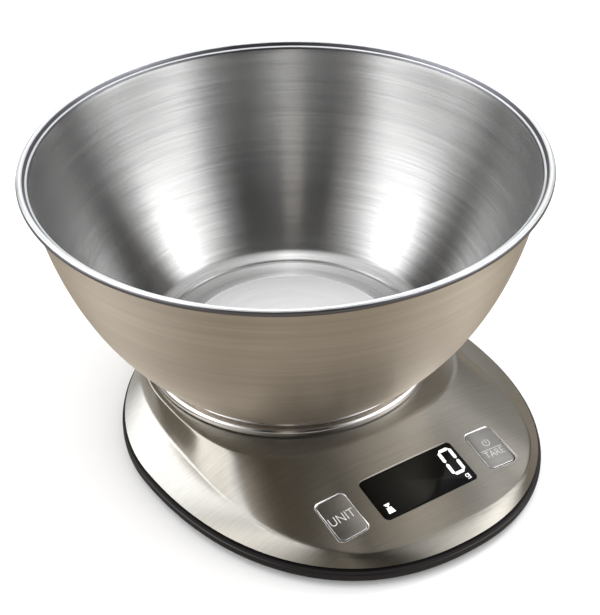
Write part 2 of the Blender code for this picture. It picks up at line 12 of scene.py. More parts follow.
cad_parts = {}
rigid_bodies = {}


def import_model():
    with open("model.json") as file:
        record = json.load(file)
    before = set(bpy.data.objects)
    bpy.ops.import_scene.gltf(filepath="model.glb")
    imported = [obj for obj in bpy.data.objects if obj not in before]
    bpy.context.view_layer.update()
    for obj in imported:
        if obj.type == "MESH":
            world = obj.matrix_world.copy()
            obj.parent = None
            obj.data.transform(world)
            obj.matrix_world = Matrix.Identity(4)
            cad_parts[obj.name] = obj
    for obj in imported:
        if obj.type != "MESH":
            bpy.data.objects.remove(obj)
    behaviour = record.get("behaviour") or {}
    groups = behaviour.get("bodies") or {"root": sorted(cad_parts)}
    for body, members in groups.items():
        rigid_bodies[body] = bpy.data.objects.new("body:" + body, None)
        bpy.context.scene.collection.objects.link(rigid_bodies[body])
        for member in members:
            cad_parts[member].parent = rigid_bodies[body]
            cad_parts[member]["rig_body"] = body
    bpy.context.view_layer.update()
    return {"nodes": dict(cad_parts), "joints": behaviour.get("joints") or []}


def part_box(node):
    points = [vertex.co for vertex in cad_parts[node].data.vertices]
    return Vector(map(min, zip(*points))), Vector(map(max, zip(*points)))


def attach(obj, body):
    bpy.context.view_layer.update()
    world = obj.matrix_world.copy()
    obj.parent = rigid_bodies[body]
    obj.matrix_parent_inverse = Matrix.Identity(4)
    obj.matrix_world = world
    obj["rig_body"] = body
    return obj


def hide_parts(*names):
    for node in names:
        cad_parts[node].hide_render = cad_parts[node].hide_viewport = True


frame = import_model()
mm = 0.001
print("frame loaded:", len(frame["nodes"]), "parts")

bowlLow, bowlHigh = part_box("bowl")
axis = Vector((0, (bowlLow.y + bowlHigh.y) / 2, 0))
rimRadius = (bowlHigh.x - bowlLow.x) / 2
rimTop = bowlHigh.z
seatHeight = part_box("bowl_foot_ring")[0].z - 0.3 * mm


def addNode(tree, kind, **settings):
    node = tree.nodes.new(kind)
    for key, value in settings.items():
        setattr(node, key, value)
    return node


def plug(tree, value, socket):
    if isinstance(value, bpy.types.NodeSocket):
        tree.links.new(value, socket)
    else:
        socket.default_value = value


def calc(tree, operation, first, second=0.0, third=0.0, clamp=False):
    node = addNode(tree, "ShaderNodeMath", operation=operation, use_clamp=clamp)
    for value, socket in zip((first, second, third), node.inputs):
        plug(tree, value, socket)
    return node.outputs[0]


def combine(tree, x, y, z):
    node = addNode(tree, "ShaderNodeCombineXYZ")
    for value, socket in zip((x, y, z), node.inputs):
        plug(tree, value, socket)
    return node.outputs[0]


def noise(tree, vector, scale, detail=3.0, roughness=0.55):
    node = addNode(tree, "ShaderNodeTexNoise")
    tree.links.new(vector, node.inputs["Vector"])
    node.inputs["Scale"].default_value = scale
    node.inputs["Detail"].default_value = detail
    node.inputs["Roughness"].default_value = roughness
    return node.outputs[0]


def spread(tree, value, low, high, fromLow=0.3, fromHigh=0.7):
    node = addNode(tree, "ShaderNodeMapRange")
    tree.links.new(value, node.inputs["Value"])
    limits = (("From Min", fromLow), ("From Max", fromHigh), ("To Min", low), ("To Max", high))
    for name, number in limits:
        node.inputs[name].default_value = number
    return node.outputs[0]


def mixColor(tree, factor, first, second):
    node = addNode(tree, "ShaderNodeMix", data_type="RGBA")
    plug(tree, factor, node.inputs["Factor"])
    for value, socket in ((first, node.inputs[6]), (second, node.inputs[7])):
        plug(tree, value if isinstance(value, bpy.types.NodeSocket) else (*value, 1), socket)
    return node.outputs[2]


def addBump(tree, height, strength, distance):
    node = addNode(tree, "ShaderNodeBump")
    node.inputs["Strength"].default_value = strength
    node.inputs["Distance"].default_value = distance
    tree.links.new(height, node.inputs["Height"])
    return node.outputs[0]


def startMaterial(name):
    material = bpy.data.materials.new(name)
    material.use_nodes = True
    tree = material.node_tree
    shader = next(n for n in tree.nodes if n.type == "BSDF_PRINCIPLED")
    place = addNode(tree, "ShaderNodeTexCoord").outputs["Object"]
    return material, tree, shader, place


def steelShader(tree, shader, look, lines, broad):
    fine = noise(tree, lines, look["lineScale"], 4.0, 0.7)
    coarse = noise(tree, lines, look["lineScale"] * 0.18, 3.0, 0.6)
    cloud = noise(tree, broad, 18.0, 2.0, 0.5)
    streak = calc(tree, "MULTIPLY_ADD", coarse, 0.45, calc(tree, "MULTIPLY", fine, 0.55))
    shade = spread(tree, streak, 0, 1, 0.36, 0.64)
    color = mixColor(tree, shade, [c * (1 - look["contrast"]) for c in look["color"]], look["color"])
    cast = spread(tree, cloud, 0.0, look.get("cast", 0.25))
    color = mixColor(tree, cast, color, look.get("castColor", look["color"]))
    tree.links.new(color, shader.inputs["Base Color"])
    shader.inputs["Roughness"].default_value = look["roughness"]
    tree.links.new(addBump(tree, streak, look["bump"], 0.00002), shader.inputs["Normal"])
    shader.inputs["Metallic"].default_value = 1.0
    shader.inputs["Anisotropic"].default_value = look["anisotropy"]


def turnedSteel(name, look):
    material, tree, shader, place = startMaterial(name)
    mapping = addNode(tree, "ShaderNodeMapping")
    mapping.inputs["Location"].default_value = -axis
    tree.links.new(place, mapping.inputs["Vector"])
    parts = addNode(tree, "ShaderNodeSeparateXYZ")
    tree.links.new(mapping.outputs[0], parts.inputs[0])
    x, y, z = parts.outputs
    squares = calc(tree, "ADD", calc(tree, "MULTIPLY", x, x), calc(tree, "MULTIPLY", y, y))
    radius = calc(tree, "SQRT", squares)
    safe = calc(tree, "MAXIMUM", radius, 0.0005)
    along = calc(tree, "MULTIPLY", calc(tree, "ADD", radius, z), 1000)
    turn = look["streakLength"]
    lines = combine(tree, along, calc(tree, "MULTIPLY", calc(tree, "DIVIDE", x, safe), turn),
                    calc(tree, "MULTIPLY", calc(tree, "DIVIDE", y, safe), turn))
    steelShader(tree, shader, look, lines, place)
    tangent = addNode(tree, "ShaderNodeTangent", direction_type="RADIAL", axis="Z")
    tree.links.new(tangent.outputs[0], shader.inputs["Tangent"])
    shader.inputs["Anisotropic Rotation"].default_value = look["rotation"]
    return material


def straightSteel(name, look):
    material, tree, shader, place = startMaterial(name)
    parts = addNode(tree, "ShaderNodeSeparateXYZ")
    tree.links.new(place, parts.inputs[0])
    x, y, z = parts.outputs
    across = calc(tree, "MULTIPLY", calc(tree, "ADD", y, calc(tree, "MULTIPLY", z, 0.35)), 1000)
    along = calc(tree, "MULTIPLY", x, look["streakLength"])
    lines = combine(tree, along, across, calc(tree, "MULTIPLY", z, 60))
    steelShader(tree, shader, look, lines, place)
    tangent = addNode(tree, "ShaderNodeTangent", direction_type="UV_MAP", uv_map="grain")
    tree.links.new(tangent.outputs[0], shader.inputs["Tangent"])
    return material


def polishedSteel(name, look):
    material, tree, shader, place = startMaterial(name)
    haze = noise(tree, place, 900.0, 4.0)
    smear = noise(tree, place, 60.0, 2.0)
    dull = [c * 0.93 for c in look["color"]]
    color = mixColor(tree, spread(tree, smear, 0, 1), look["color"], dull)
    tree.links.new(color, shader.inputs["Base Color"])
    tree.links.new(calc(tree, "ADD", spread(tree, smear, look["roughness"] * 0.8, look["roughness"] * 1.3),
                        spread(tree, haze, 0, 0.02)), shader.inputs["Roughness"])
    tree.links.new(addBump(tree, haze, 0.05, 0.00001), shader.inputs["Normal"])
    shader.inputs["Metallic"].default_value = 1.0
    return material


def moulded(name, look):
    material, tree, shader, place = startMaterial(name)
    grain = noise(tree, place, look.get("grain", 2500.0), 3.0)
    wear = noise(tree, place, 45.0, 4.0)
    light = [min(1.0, c * look.get("lift", 1.35)) for c in look["color"]]
    color = mixColor(tree, spread(tree, wear, 0, 0.8), look["color"], light)
    tree.links.new(color, shader.inputs["Base Color"])
    tree.links.new(calc(tree, "ADD", spread(tree, wear, look["roughness"] - 0.05, look["roughness"] + 0.06),
                        spread(tree, grain, -0.02, 0.03)), shader.inputs["Roughness"])
    tree.links.new(addBump(tree, grain, look.get("bump", 0.3), 0.00003), shader.inputs["Normal"])
    shader.inputs["Metallic"].default_value = look.get("metallic", 0.0)
    shader.inputs["Specular IOR Level"].default_value = look.get("shine", 0.5)
    if "coat" in look:
        shader.inputs["Coat Weight"].default_value = look["coat"]
        shader.inputs["Coat Roughness"].default_value = 0.04
    if "glow" in look:
        shader.inputs["Emission Color"].default_value = (*look["color"], 1)
        shader.inputs["Emission Strength"].default_value = look["glow"]
    return material


steels = {
    "bowlInside": {"color": (0.63, 0.63, 0.63), "castColor": (0.61, 0.605, 0.595),
                   "roughness": 0.25, "contrast": 0.26, "lineScale": 1.1,
                   "bump": 0.012, "anisotropy": 0.96, "streakLength": 2.2, "rotation": 0.25},
    # the floor's rougher, less brushed finish is real; its near-white colour, far lighter than the bowl
    # steel, is a painted highlight
    "bowlFloor": {"color": (0.97, 0.97, 0.98), "castColor": (0.94, 0.94, 0.94),
                  "roughness": 0.60, "contrast": 0.08, "lineScale": 1.1,
                  "bump": 0.004, "anisotropy": 0.35, "streakLength": 2.2, "rotation": 0.25},
    # the outside is the same brushed steel as the inside; its warm brown tint is a painted reflection of
    # the warm surroundings
    "bowlOutside": {"color": (0.66, 0.60, 0.52), "castColor": (0.64, 0.59, 0.53),
                    "roughness": 0.38, "contrast": 0.2, "lineScale": 1.1,
                    "bump": 0.01, "anisotropy": 0.93, "streakLength": 1.6, "rotation": 0.25},
    "coverGrain": {"color": (0.335, 0.315, 0.28), "castColor": (0.345, 0.34, 0.325),
                   "roughness": 0.33, "contrast": 0.2, "lineScale": 5.0,
                   "bump": 0.015, "anisotropy": 0.9, "streakLength": 40.0},
    "keyGrain": {"color": (0.36, 0.35, 0.335), "roughness": 0.38, "contrast": 0.2,
                 "lineScale": 2.4, "bump": 0.015, "anisotropy": 0.85, "streakLength": 60.0},
}
polishes = {
    # edgePolish is a painted highlight for the slanted faces round the key holes
    "edgePolish": {"color": (0.95, 0.95, 0.95), "roughness": 0.42},
    # rimPolish is a painted highlight and rimShade is painted shade: near-white and dark copies of the bowl
    # steel for the rim bead
    "rimPolish": {"color": (0.95, 0.97, 0.99), "roughness": 0.48},
    "rimShade": {"color": (0.17, 0.17, 0.19), "roughness": 0.34},
    "ringPolish": {"color": (0.72, 0.71, 0.71), "roughness": 0.16},
    "screwZinc": {"color": (0.55, 0.55, 0.57), "roughness": 0.30},
    "nickel": {"color": (0.70, 0.67, 0.60), "roughness": 0.24},
    "sensorAlloy": {"color": (0.66, 0.66, 0.68), "roughness": 0.34},
}
plastics = {
    "trayBlack": {"color": (0.008, 0.007, 0.008), "roughness": 0.36, "bump": 0.2, "shine": 0.3},
    "linerBlack": {"color": (0.022, 0.022, 0.022), "roughness": 0.55},
    "windowGloss": {"color": (0.0012, 0.0012, 0.0013), "roughness": 0.09, "bump": 0.0, "shine": 0.22},
    "lcdGlass": {"color": (0.035, 0.045, 0.045), "roughness": 0.14, "bump": 0.05},
    "segmentWhite": {"color": (0.86, 0.87, 0.88), "roughness": 0.4, "bump": 0.05, "glow": 0.35},
    # the print's grey is its own colour; its faint glow is painted light
    "keyPrint": {"color": (0.56, 0.55, 0.53), "roughness": 0.5, "bump": 0.1, "glow": 0.05},
    "backlight": {"color": (0.84, 0.84, 0.80), "roughness": 0.45, "lift": 1.04},
    "boardGreen": {"color": (0.010, 0.10, 0.045), "roughness": 0.36, "grain": 700.0, "coat": 0.5},
    "switchBlack": {"color": (0.022, 0.022, 0.026), "roughness": 0.42},
    "nylonWhite": {"color": (0.70, 0.70, 0.67), "roughness": 0.5, "lift": 1.06},
    "rubber": {"color": (0.014, 0.014, 0.014), "roughness": 0.82, "grain": 1400.0, "bump": 0.6},
    "cellJacket": {"color": (0.03, 0.08, 0.24), "roughness": 0.28, "bump": 0.05, "coat": 0.6},
    "wireRed": {"color": (0.42, 0.02, 0.015), "roughness": 0.45},
    "connectorWhite": {"color": (0.76, 0.74, 0.68), "roughness": 0.5, "lift": 1.06},
}
finishes = {name: turnedSteel(name, steels[name]) for name in ("bowlInside", "bowlFloor", "bowlOutside")}
finishes.update({name: straightSteel(name, steels[name]) for name in ("coverGrain", "keyGrain")})
finishes.update({name: polishedSteel(name, look) for name, look in polishes.items()})
finishes.update({name: moulded(name, look) for name, look in plastics.items()})
print("finishes:", len(finishes))


def meshObject(name, mesh):
    obj = bpy.data.objects.new(name, mesh)
    bpy.context.scene.collection.objects.link(obj)
    return obj


def meshOf(name, bm):
    mesh = bpy.data.meshes.new(name)
    bm.to_mesh(mesh)
    bm.free()
    return mesh


def plainCopy(obj, name):
    graph = bpy.context.evaluated_depsgraph_get()
    mesh = bpy.data.meshes.new_from_object(obj.evaluated_get(graph))
    mesh.transform(obj.matrix_world)
    bpy.data.objects.remove(obj)
    mesh.name = name
    return meshObject(name, mesh)


def finishMesh(obj, sharp=30, outward=True):
    bm = bmesh.new()
    bm.from_mesh(obj.data)
    bmesh.ops.remove_doubles(bm, verts=bm.verts, dist=1e-6)
    bmesh.ops.dissolve_degenerate(bm, edges=bm.edges, dist=1e-7)
    if outward:
        bmesh.ops.recalc_face_normals(bm, faces=bm.faces)
    bm.to_mesh(obj.data)
    bm.free()
    obj.data.shade_smooth()
    obj.data.set_sharp_from_angle(angle=math.radians(sharp))
    return obj


def settle(obj, body, slot, *replaced):
    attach(obj, body)
    if replaced:
        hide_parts(*replaced)
    return obj


def boxMesh(size, corner=0.0, soft=0.0, segments=6):
    bm = bmesh.new()
    bmesh.ops.create_cube(bm, size=1.0, matrix=Matrix.Diagonal((*size, 1)))
    if corner:
        upright = [e for e in bm.edges if abs(e.verts[0].co.z - e.verts[1].co.z) > 1e-6]
        bmesh.ops.bevel(bm, geom=upright, offset=corner, segments=segments, profile=0.5, affect="EDGES")
    if soft:
        top = [e for e in bm.edges if min(v.co.z for v in e.verts) > size[2] / 2 - 1e-6]
        bmesh.ops.bevel(bm, geom=top, offset=soft, segments=3, profile=0.5, affect="EDGES")
    return meshOf("box", bm)


def startTree(name, inputs):
    tree = bpy.data.node_groups.new(name, "GeometryNodeTree")
    for label, kind in inputs:
        tree.interface.new_socket(name=label, in_out="INPUT", socket_type=kind)
    tree.interface.new_socket(name="Geometry", in_out="OUTPUT", socket_type="NodeSocketGeometry")
    return tree, tree.nodes.new("NodeGroupInput"), tree.nodes.new("NodeGroupOutput")


def wire(tree, *pairs):
    for source, target in pairs:
        tree.links.new(source, target)


def latheTree():
    sockets = (("Profile", "NodeSocketGeometry"), ("Steps", "NodeSocketInt"),
               ("Finish", "NodeSocketMaterial"))
    tree, given, out = startTree("latheTree", sockets)
    size = tree.nodes.new("GeometryNodeAttributeDomainSize")
    sides = addNode(tree, "ShaderNodeMath", operation="ADD")
    sides.inputs[1].default_value = 1
    grid = tree.nodes.new("GeometryNodeMeshGrid")
    index = tree.nodes.new("GeometryNodeInputIndex")
    column = addNode(tree, "ShaderNodeMath", operation="DIVIDE")
    whole = addNode(tree, "ShaderNodeMath", operation="FLOOR")
    row = addNode(tree, "ShaderNodeMath", operation="MODULO")
    part = addNode(tree, "ShaderNodeMath", operation="DIVIDE")
    angle = addNode(tree, "ShaderNodeMath", operation="MULTIPLY")
    angle.inputs[1].default_value = math.tau
    position = tree.nodes.new("GeometryNodeInputPosition")
    sample = addNode(tree, "GeometryNodeSampleIndex", data_type="FLOAT_VECTOR")
    turn = addNode(tree, "ShaderNodeVectorRotate", rotation_type="Z_AXIS")
    move = tree.nodes.new("GeometryNodeSetPosition")
    merge = tree.nodes.new("GeometryNodeMergeByDistance")
    merge.inputs["Distance"].default_value = 1e-6
    realize = tree.nodes.new("GeometryNodeRealizeInstances")
    paint = tree.nodes.new("GeometryNodeSetMaterial")
    wire(tree, (given.outputs["Profile"], size.inputs[0]), (given.outputs["Steps"], sides.inputs[0]),
         (sides.outputs[0], grid.inputs["Vertices X"]),
         (size.outputs["Point Count"], grid.inputs["Vertices Y"]),
         (index.outputs[0], column.inputs[0]), (size.outputs["Point Count"], column.inputs[1]),
         (column.outputs[0], whole.inputs[0]), (index.outputs[0], row.inputs[0]),
         (size.outputs["Point Count"], row.inputs[1]), (whole.outputs[0], part.inputs[0]),
         (given.outputs["Steps"], part.inputs[1]), (part.outputs[0], angle.inputs[0]),
         (given.outputs["Profile"], sample.inputs["Geometry"]),
         (position.outputs[0], sample.inputs["Value"]),
         (row.outputs[0], sample.inputs["Index"]), (sample.outputs[0], turn.inputs["Vector"]),
         (angle.outputs[0], turn.inputs["Angle"]), (grid.outputs["Mesh"], move.inputs["Geometry"]),
         (turn.outputs[0], move.inputs["Position"]), (move.outputs[0], merge.inputs["Geometry"]),
         (merge.outputs[0], realize.inputs[0]), (realize.outputs[0], paint.inputs["Geometry"]),
         (given.outputs["Finish"], paint.inputs["Material"]), (paint.outputs[0], out.inputs[0]))
    return tree


def copiesTree():
    sockets = (("Places", "NodeSocketGeometry"), ("Piece", "NodeSocketObject"),
               ("Finish", "NodeSocketMaterial"))
    tree, given, out = startTree("copiesTree", sockets)
    info = tree.nodes.new("GeometryNodeObjectInfo")
    spot = tree.nodes.new("GeometryNodeInstanceOnPoints")
    realize = tree.nodes.new("GeometryNodeRealizeInstances")
    paint = tree.nodes.new("GeometryNodeSetMaterial")
    wire(tree, (given.outputs["Piece"], info.inputs[0]),
         (given.outputs["Places"], spot.inputs["Points"]),
         (info.outputs["Geometry"], spot.inputs["Instance"]), (spot.outputs[0], realize.inputs[0]),
         (realize.outputs[0], paint.inputs["Geometry"]),
         (given.outputs["Finish"], paint.inputs["Material"]),
         (paint.outputs[0], out.inputs[0]))
    return tree


def ribsTree():
    sockets = (("Start", "NodeSocketGeometry"), ("Count", "NodeSocketInt"),
               ("Pitch", "NodeSocketVector"), ("Rib", "NodeSocketVector"),
               ("Middle", "NodeSocketVector"), ("Finish", "NodeSocketMaterial"))
    tree, given, out = startTree("ribsTree", sockets)
    line = tree.nodes.new("GeometryNodeMeshLine")
    cube = tree.nodes.new("GeometryNodeMeshCube")
    spot = tree.nodes.new("GeometryNodeInstanceOnPoints")
    realize = tree.nodes.new("GeometryNodeRealizeInstances")
    join = tree.nodes.new("GeometryNodeJoinGeometry")
    paint = tree.nodes.new("GeometryNodeSetMaterial")
    wire(tree, (given.outputs["Count"], line.inputs["Count"]),
         (given.outputs["Middle"], line.inputs["Start Location"]),
         (given.outputs["Pitch"], line.inputs["Offset"]), (given.outputs["Rib"], cube.inputs["Size"]),
         (line.outputs[0], spot.inputs["Points"]), (cube.outputs["Mesh"], spot.inputs["Instance"]),
         (spot.outputs[0], join.inputs[0]), (given.outputs["Start"], join.inputs[0]),
         (join.outputs[0], realize.inputs[0]), (realize.outputs[0], paint.inputs["Geometry"]),
         (given.outputs["Finish"], paint.inputs["Material"]), (paint.outputs[0], out.inputs[0]))
    return tree


trees = {"lathe": latheTree(), "copies": copiesTree(), "ribs": ribsTree()}


def grow(obj, tree, values, name):
    modifier = obj.modifiers.new(tree.name, "NODES")
    modifier.node_group = tree
    keys = {item.name: item.identifier for item in tree.interface.items_tree if item.in_out == "INPUT"}
    for label, value in values.items():
        modifier[keys[label]] = value
    out = plainCopy(obj, name)
    out.data.materials.clear()
    out.data.materials.append(values["Finish"])
    out.data.polygons.foreach_set("material_index", [0] * len(out.data.polygons))
    return out


def turned(name, profile, finish, steps=160, center=(0, 0, 0), sharp=30):
    mesh = bpy.data.meshes.new(name)
    points = [(r, 0, z) for r, z in profile]
    mesh.from_pydata(points, [(i, i + 1) for i in range(len(points) - 1)], [])
    raw = meshObject(name + "Profile", mesh)
    obj = grow(raw, trees["lathe"], {"Steps": steps, "Finish": finishes[finish]}, name)
    obj.data.transform(Matrix.Translation(center))
    return finishMesh(obj, sharp)


def arc(center, radius, start, end, steps):
    angles = [math.radians(start + (end - start) * i / steps) for i in range(steps + 1)]
    return [(center[0] + radius * math.cos(a), center[1] + radius * math.sin(a)) for a in angles]


def rounded(points, reach, steps=4):
    path = [Vector(p) for p in points]
    out = [path[0]]
    for before, corner, after in zip(path, path[1:], path[2:]):
        size = min(reach, (before - corner).length * 0.45, (after - corner).length * 0.45)
        start = corner + (before - corner).normalized() * size
        end = corner + (after - corner).normalized() * size
        for i in range(steps + 1):
            t = i / steps
            out.append(start * (1 - t) ** 2 + corner * 2 * t * (1 - t) + end * t ** 2)
    out.append(path[-1])
    return [tuple(p) for p in out]


bowl = {"wall": 0.8, "floorZ": 36.0, "curve": ((66.0, 36.0), (103.8, 69.2), (113.0, 130.5)), "bead": 1.6,
        "wallSteps": 56, "sides": 256, "groove": 0.12, "floorRadius": 50, "rimFrom": 130.4,
        "rimFacing": 0.62, "rimShade": (113.7, 114.7)}


def wallPoints(steps, inset=0.0):
    low, pull, high = (Vector(p) for p in bowl["curve"])
    points = []
    for i in range(steps + 1):
        t = i / steps
        run = (pull - low) * (1 - t) + (high - pull) * t
        point = low * (1 - t) ** 2 + pull * 2 * t * (1 - t) + high * t ** 2
        points.append(tuple(point + Vector((-run.y, run.x)).normalized() * inset))
    return points


def makeBowl():
    floorZ, wall, bead, groove = bowl["floorZ"], bowl["wall"], bowl["bead"], bowl["groove"]
    beadPlace = (rimRadius / mm - bead, rimTop / mm - bead)
    floor = [(0, floorZ), (20, floorZ), (40, floorZ), (49.2, floorZ), (49.6, floorZ - groove),
             (50.0, floorZ), (53.5, floorZ + 0.1), (57, floorZ + 0.35), (60.0, floorZ + 0.85)]
    bend = [(61.6, floorZ + 1.2), (61.9, floorZ + 1.2 - groove), (62.2, floorZ + 1.4),
            (64.0, floorZ + 2.0)]
    inner = wallPoints(bowl["wallSteps"], wall)[2:]
    lip = [(112.4, 131.2), (112.7, 131.6), (113.6, 131.9), (113.85, 132.1)]
    rim = arc(beadPlace, bead, 150, -140, 24)
    outer = list(reversed(wallPoints(bowl["wallSteps"])))
    under = [(65.2, floorZ - 0.35), (63.5, floorZ - wall), (30, floorZ - wall), (0, floorZ - wall)]
    profile = floor + bend + inner + lip + rim + outer + under
    profile = [(r * mm, z * mm) for r, z in profile]
    obj = turned("mixingBowl", profile, "bowlInside", bowl["sides"], axis, 40)
    for name in ("bowlOutside", "rimPolish", "bowlFloor", "rimShade"):
        obj.data.materials.append(finishes[name])
    shadeLow, shadeHigh = (limit * mm for limit in bowl["rimShade"])
    for face in obj.data.polygons:
        reach = (face.center - axis).to_2d()
        out = reach.normalized()
        # rim faces turned up past rimFacing are painted highlight; the other rim faces, and those between
        # the rimShade radii, are painted shade
        if face.center.z > bowl["rimFrom"] * mm:
            bright = face.normal.z > bowl["rimFacing"] and not shadeLow < reach.length < shadeHigh
            face.material_index = 2 if bright else 4
        # upward floor faces inside floorRadius take the painted highlight copy
        elif reach.length < bowl["floorRadius"] * mm and face.normal.z > 0.5:
            face.material_index = 3
        # outward and downward faces take the warm painted reflection copy
        elif face.normal.to_2d().dot(out) > 0.2 or face.normal.z < -0.5:
            face.material_index = 1
    settle(obj, "bowl", "bowl_steel", "bowl")


ring = {"profile": ((5.2, 5.9), (3.7, 5.9), (3.7, 4.6), (1.2, 4.4), (0.3, 3.4), (0, 1.4), (0.5, 0.3),
                    (1.8, 0.3), (2.4, 3.2), (5.2, 3.6)), "radius": 68.0}


def makeRing():
    radius = ring["radius"]
    profile = [((radius - inset) * mm, seatHeight + rise * mm) for inset, rise in ring["profile"]]
    closed = rounded([profile[-1], *profile, profile[0]], 0.55 * mm, 5)[1:-1]
    obj = turned("bowlFootRing", closed + closed[:1], "ringPolish", 256, axis, 50)
    settle(obj, "bowl", "polished_steel", "bowl_foot_ring")


makeBowl()
makeRing()
print("bowl and foot ring made")


outline = {"sides": 288, "trayHalf": 92.0, "trayFront": 117.2, "trayBack": 97.0, "edgeInset": 1.5,
           "edgeZ": 9.8, "creaseZ": 17.0, "crestZ": 28.7, "bossRadius": 60.8, "bossRise": 0.9,
           "sheet": 0.7}


def egg(halfWidth, centerY, front, frontPower, back, backPower, z=0.0):
    angle = np.arange(outline["sides"]) * math.tau / outline["sides"]
    side, depth = np.sin(angle), -np.cos(angle)
    reach = np.where(depth < 0, front, back)
    power = np.where(depth < 0, frontPower, backPower)
    radius = (np.abs(side / halfWidth) ** power + np.abs(depth / reach) ** power) ** (-1 / power)
    return np.stack([radius * side, centerY + radius * depth, np.full_like(radius, z)], axis=1)


def trayRing(inset, z):
    half, front, back = (outline[name] - inset for name in ("trayHalf", "trayFront", "trayBack"))
    return egg(half, -20.0, front, 2.25, back, 1.87, z)


def smoothstep(value):
    value = np.clip(value, 0, 1)
    return value * value * (3 - 2 * value)


def creaseRing():
    points = egg(74.5, -25.0, 104.0, 3.0, 98.0, 2.33)
    dip = np.where(points[:, 1] < -60, smoothstep((60 - np.abs(points[:, 0])) / 20), 0)
    points[:, 2] = outline["creaseZ"] - 2 * dip
    return points


def crestRing(inset, z):
    return egg(70.5 - inset, 0.0, 75.0 - inset, 2.8, 70.5 - inset, 2.0, z)


def circleRing(radius, z):
    return egg(radius, 0.0, radius, 2, radius, 2, z)


def softCorner(before, corner, after, reach, steps=5):
    def toward(target):
        run = target - corner
        return corner + run / np.linalg.norm(run, axis=1)[:, None] * reach

    start, end = toward(before), toward(after)
    return [start * (1 - t) ** 2 + corner * 2 * t * (1 - t) + end * t ** 2
            for t in np.linspace(0, 1, steps + 1)]


def skirtRing(t):
    edge, crease = trayRing(outline["edgeInset"], outline["edgeZ"]), creaseRing()
    ringPoints = edge * (1 - t) + crease * t
    ringPoints[:, 2] += 4 * 0.4 * t * (1 - t)
    return ringPoints


def flankRing(t):
    crease, crest = creaseRing(), crestRing(0.0, outline["crestZ"])
    ringPoints = crease * (1 - t) + crest * t
    ringPoints[:, 2] = crease[:, 2] + (crest[:, 2] - crease[:, 2]) * (0.65 * t + 0.35 * t ** 3)
    return ringPoints


def loftMesh(name, rings, capLast=True):
    bm = bmesh.new()
    loops = [[bm.verts.new(Vector(p) * mm + axis) for p in points] for points in rings]
    for lower, upper in zip(loops, loops[1:]):
        for i, j in zip(range(len(lower)), list(range(1, len(lower))) + [0]):
            bm.faces.new((lower[i], lower[j], upper[j], upper[i]))
    if capLast:
        middle = bm.verts.new(sum((v.co for v in loops[-1]), Vector()) / len(loops[-1]))
        for i, j in zip(range(len(loops[-1])), list(range(1, len(loops[-1]))) + [0]):
            bm.faces.new((loops[-1][i], loops[-1][j], middle))
    return meshOf(name, bm)


def grainMap(obj):
    layer = obj.data.uv_layers.new(name="grain")
    for loop in obj.data.loops:
        point = obj.data.vertices[loop.vertex_index].co
        layer.data[loop.index].uv = (point.y * 5 + 0.5, point.x * 5 + 0.5)


def faceFrame(node, outward):
    points = [v.co for v in frame["nodes"][node].data.vertices]
    top = max(p.dot(outward) for p in points)
    flat = [p for p in points if p.dot(outward) > top - 5e-5]
    low = Vector([min(p[i] for p in flat) for i in range(3)])
    high = Vector([max(p[i] for p in flat) for i in range(3)])
    across = Vector((0, 1, 0)).cross(outward).normalized()
    place = Matrix((across, outward.cross(across), outward)).transposed().to_4x4()
    place.translation = (low + high) / 2
    return place


keyAxes = {j["child"]: Vector(j["axis"]).normalized() for j in frame["joints"]
           if j["child"].endswith("_key")}
panelUp = -(keyAxes["unit_key"] + keyAxes["tare_key"]).normalized()
windowPlace = faceFrame("display_window", panelUp)
keyPlaces = {side: faceFrame(side, -keyAxes[side]) for side in keyAxes}
panel = {"window": (49.7, 23.1), "windowCorner": 2.5, "glassDrop": 0.5, "key": (14.4, 20.9),
         "keyCorner": 2.6, "slot": 0.3, "keyRise": 0.15, "chamfer": 0.3, "margin": 2, "flat": 0.9}


def flaredCutter(size, corner, chamfer, place, name):
    bm = bmesh.new()
    bmesh.ops.create_cube(bm, size=1.0, matrix=Matrix.Diagonal((size[0] * mm, size[1] * mm, 6 * mm, 1)))
    upright = [e for e in bm.edges if abs(e.verts[0].co.z - e.verts[1].co.z) > 1e-6]
    bmesh.ops.bevel(bm, geom=upright, offset=corner * mm, segments=8, profile=0.5, affect="EDGES")
    flare = [v for v in bm.verts if v.co.z > 0]
    bmesh.ops.bisect_plane(bm, geom=bm.verts[:] + bm.edges[:] + bm.faces[:],
                           plane_co=(0, 0, -chamfer * mm), plane_no=(0, 0, 1))
    for v in flare:
        v.co.x += math.copysign((3 + chamfer) * mm, v.co.x)
        v.co.y += math.copysign((3 + chamfer) * mm, v.co.y)
    obj = meshObject(name, meshOf(name, bm))
    obj.data.transform(place)
    return obj


def cut(obj, cutters, operation="DIFFERENCE"):
    for cutter in cutters:
        modifier = obj.modifiers.new("cut", "BOOLEAN")
        modifier.operation = operation
        modifier.object = cutter
    name = obj.name
    obj.name = name + "Raw"
    out = plainCopy(obj, name)
    for cutter in cutters:
        bpy.data.objects.remove(cutter)
    return out


def paintEdgeHighlights(obj, cuts):
    # the slanted faces round each hole get a painted highlight: a near-white copy of the steel
    for place, size in cuts:
        back = place.inverted()
        turn = back.to_3x3()
        wide, long = ((length / 2 + panel["margin"]) * mm for length in size)
        for face in obj.data.polygons:
            spot = back @ face.center
            if abs(spot.x) > wide or abs(spot.y) > long or abs(spot.z) > panel["margin"] * mm:
                continue
            if abs((turn @ face.normal).z) < panel["flat"]:
                face.material_index = 1


